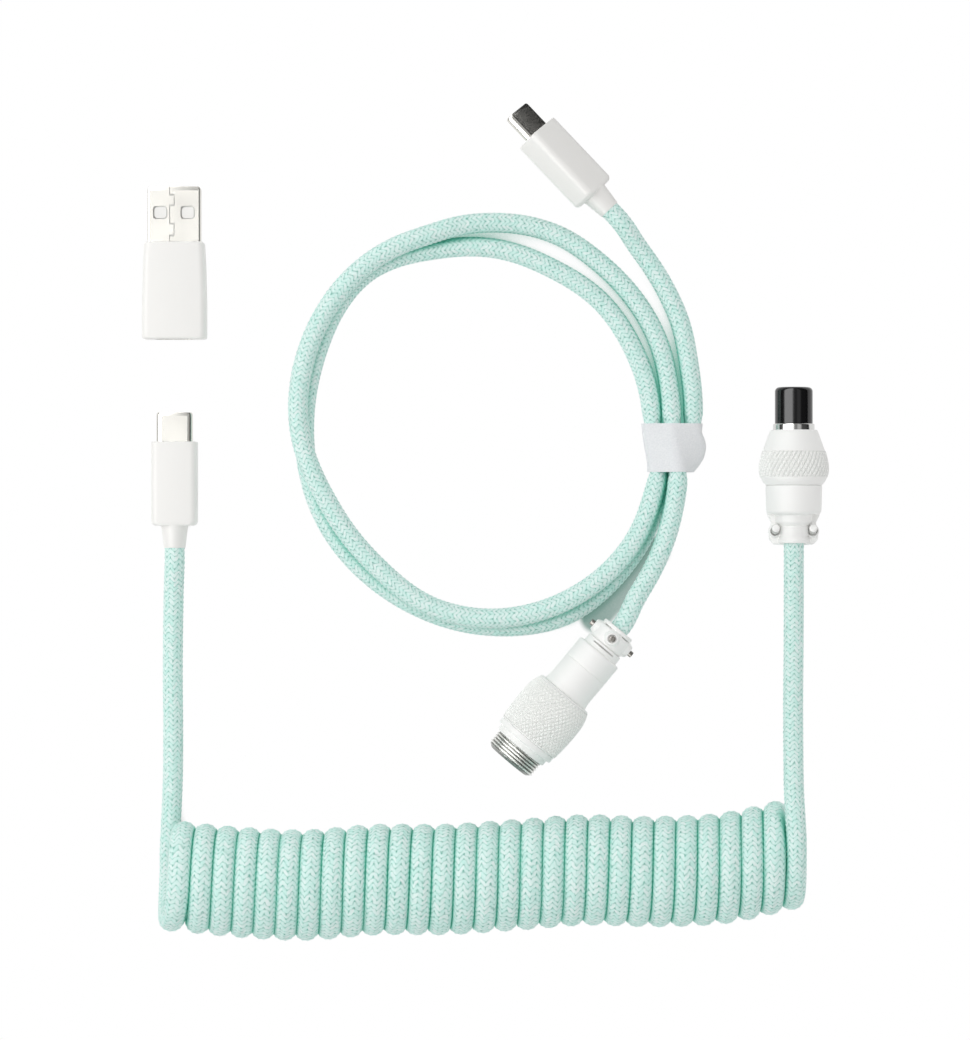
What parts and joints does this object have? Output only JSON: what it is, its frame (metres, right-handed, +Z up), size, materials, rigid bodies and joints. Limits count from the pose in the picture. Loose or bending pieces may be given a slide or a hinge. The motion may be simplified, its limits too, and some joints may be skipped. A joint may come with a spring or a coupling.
{
  "type": "coiled keyboard cable set",
  "caption": "Coiled keyboard cable with a braided sleeve, slim plug and round coupling plug, with a tied host cable that ends in a threaded round connector, and a plug adapter.",
  "frame": {"origin": "the middle of the set as it lies on a desk, on the desk's surface", "axes": "+Z up from the desk, +Y the way the adapter and the plugs on both sides point, +X along the coil towards the detachable plug"},
  "size_m": [0.1546, 0.1879, 0.0247],
  "materials": {
    "white_plastic": "satin moulded plastic, soft edges",
    "white_paint": "white coat on turned metal, satin",
    "nickel": "nickel plate on folded sheet",
    "polished_metal": "polished plate on turned metal",
    "black_plastic": "glossy black moulding",
    "gold_contact": "gold flash on contact metal",
    "circuit_board": "green solder mask",
    "wire_jacket": "thin insulated wire",
    "braided_sleeve": "mint woven sleeve over a round rubber-jacketed cable",
    "strap_felt": "white hook-and-loop strap, felt side out"
  },
  "bodies": {
    "coiled_cable": {"device_plug_shell": "nickel", "device_plug_insert": "black_plastic", "device_plug_contacts": "gold_contact", "device_plug_board": "circuit_board", "device_plug_housing": "white_plastic", "device_plug_collar": "white_plastic", "device_plug_wires": "wire_jacket", "coiled_cord_lead": "braided_sleeve", "coiled_cord_coil": "braided_sleeve"},
    "detach_plug": {"coiled_cord_tail": "braided_sleeve", "round_plug_insert": "black_plastic", "round_plug_contacts": "gold_contact", "round_plug_barrel": "polished_metal", "round_plug_back_shell": "white_paint", "round_plug_clamp": "white_paint", "round_plug_screws": "white_paint", "round_plug_wires": "wire_jacket"},
    "ring_carriage": {"thrust_washer": "polished_metal"},
    "coupling_nut": {"coupling_ring": "white_paint", "coupling_retainer": "polished_metal"},
    "adapter": {"adapter_housing": "white_plastic", "adapter_plug_shell": "nickel", "adapter_plug_insulator": "white_plastic", "adapter_plug_contacts": "gold_contact", "adapter_board": "circuit_board", "adapter_socket_shell": "nickel", "adapter_socket_tongue": "black_plastic", "adapter_socket_contacts": "gold_contact"},
    "host_cable": {"host_plug_shell": "nickel", "host_plug_insert": "black_plastic", "host_plug_contacts": "gold_contact", "host_plug_board": "circuit_board", "host_plug_housing": "white_plastic", "host_plug_collar": "white_plastic", "host_plug_wires": "wire_jacket", "host_cord_lead": "braided_sleeve", "host_cord_loops": "braided_sleeve", "host_cord_tail": "braided_sleeve", "tie_strap": "strap_felt", "threaded_shell": "polished_metal", "threaded_insert": "black_plastic", "threaded_pins": "gold_contact", "threaded_lip": "white_paint", "threaded_grip": "white_paint", "threaded_mid_shell": "white_paint", "threaded_rear_shell": "white_paint", "threaded_clamp": "white_paint", "threaded_screws": "polished_metal", "threaded_wires": "wire_jacket"}
  },
  "joints": [
    {"name": "coil_stretch", "type": "slide", "parent": "coiled_cable", "child": "detach_plug", "axis": [1, 0, 0], "range_m": [0, 0.2], "stiffness_N_per_m": 8, "deforming": ["coiled_cord_coil"]},
    {"name": "ring_slide", "type": "slide", "parent": "detach_plug", "child": "ring_carriage", "axis": [0, 1, 0], "range_m": [0, 0.005]},
    {"name": "ring_spin", "type": "hinge", "parent": "ring_carriage", "child": "coupling_nut", "pos_m": [0.0694, 0.0132, 0.0079], "axis": [0, 1, 0], "continuous": true},
    {"name": "adapter_plug_in", "type": "slide", "parent": "coiled_cable", "child": "adapter", "axis": [0, -1, 0], "range_m": [0, 0.023]},
    {"name": "host_lift", "type": "slide", "parent": "coiled_cable", "child": "host_cable", "axis": [0, 0, 1], "range_m": [0, 0.06]}
  ]
}
